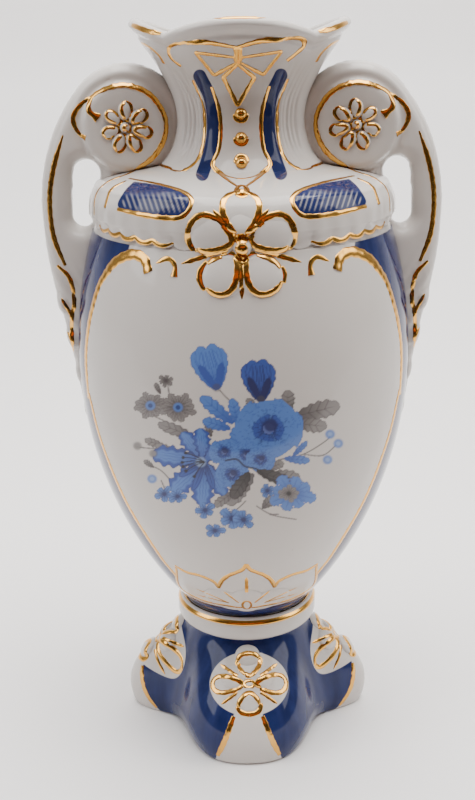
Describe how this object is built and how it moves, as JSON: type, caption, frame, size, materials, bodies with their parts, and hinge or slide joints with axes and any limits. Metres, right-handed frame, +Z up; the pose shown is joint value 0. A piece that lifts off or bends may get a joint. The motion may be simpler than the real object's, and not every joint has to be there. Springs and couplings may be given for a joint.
{
  "type": "flower vase",
  "caption": "Baluster porcelain flower vase with a lobed mouth and foot, two scroll handles, moulded sprigs and a painted panel; it stands free and holds cut stems in water.",
  "frame": {"origin": "centre of the plane that the foot rests on, on the vase's axis", "axes": "+Z up the vase's axis, -Y towards the front with the painted panel, +X towards the right handle seen from the front"},
  "size_m": [0.1344, 0.1142, 0.25],
  "materials": {
    "porcelain": "glossy glaze",
    "cobalt_porcelain": "glossy cobalt glaze with white reserves",
    "gilt_porcelain": "gold lustre over glaze"
  },
  "bodies": {
    "root": {"foot": "cobalt_porcelain", "collar_ring": "porcelain", "bowl": "porcelain", "shoulder": "porcelain", "neck": "porcelain", "handle_right": "porcelain", "handle_left": "porcelain", "shoulder_flower_front": "porcelain", "shoulder_flower_back": "porcelain", "lotus_front": "porcelain", "lotus_back": "porcelain", "neck_beads_front": "gilt_porcelain", "neck_beads_back": "gilt_porcelain", "foot_flower_front": "porcelain", "foot_flower_right": "porcelain", "foot_flower_back": "porcelain", "foot_flower_left": "porcelain", "rosette_right_front": "porcelain", "rosette_right_back": "porcelain", "rosette_left_front": "porcelain", "rosette_left_back": "porcelain"}
  },
  "joints": []
}
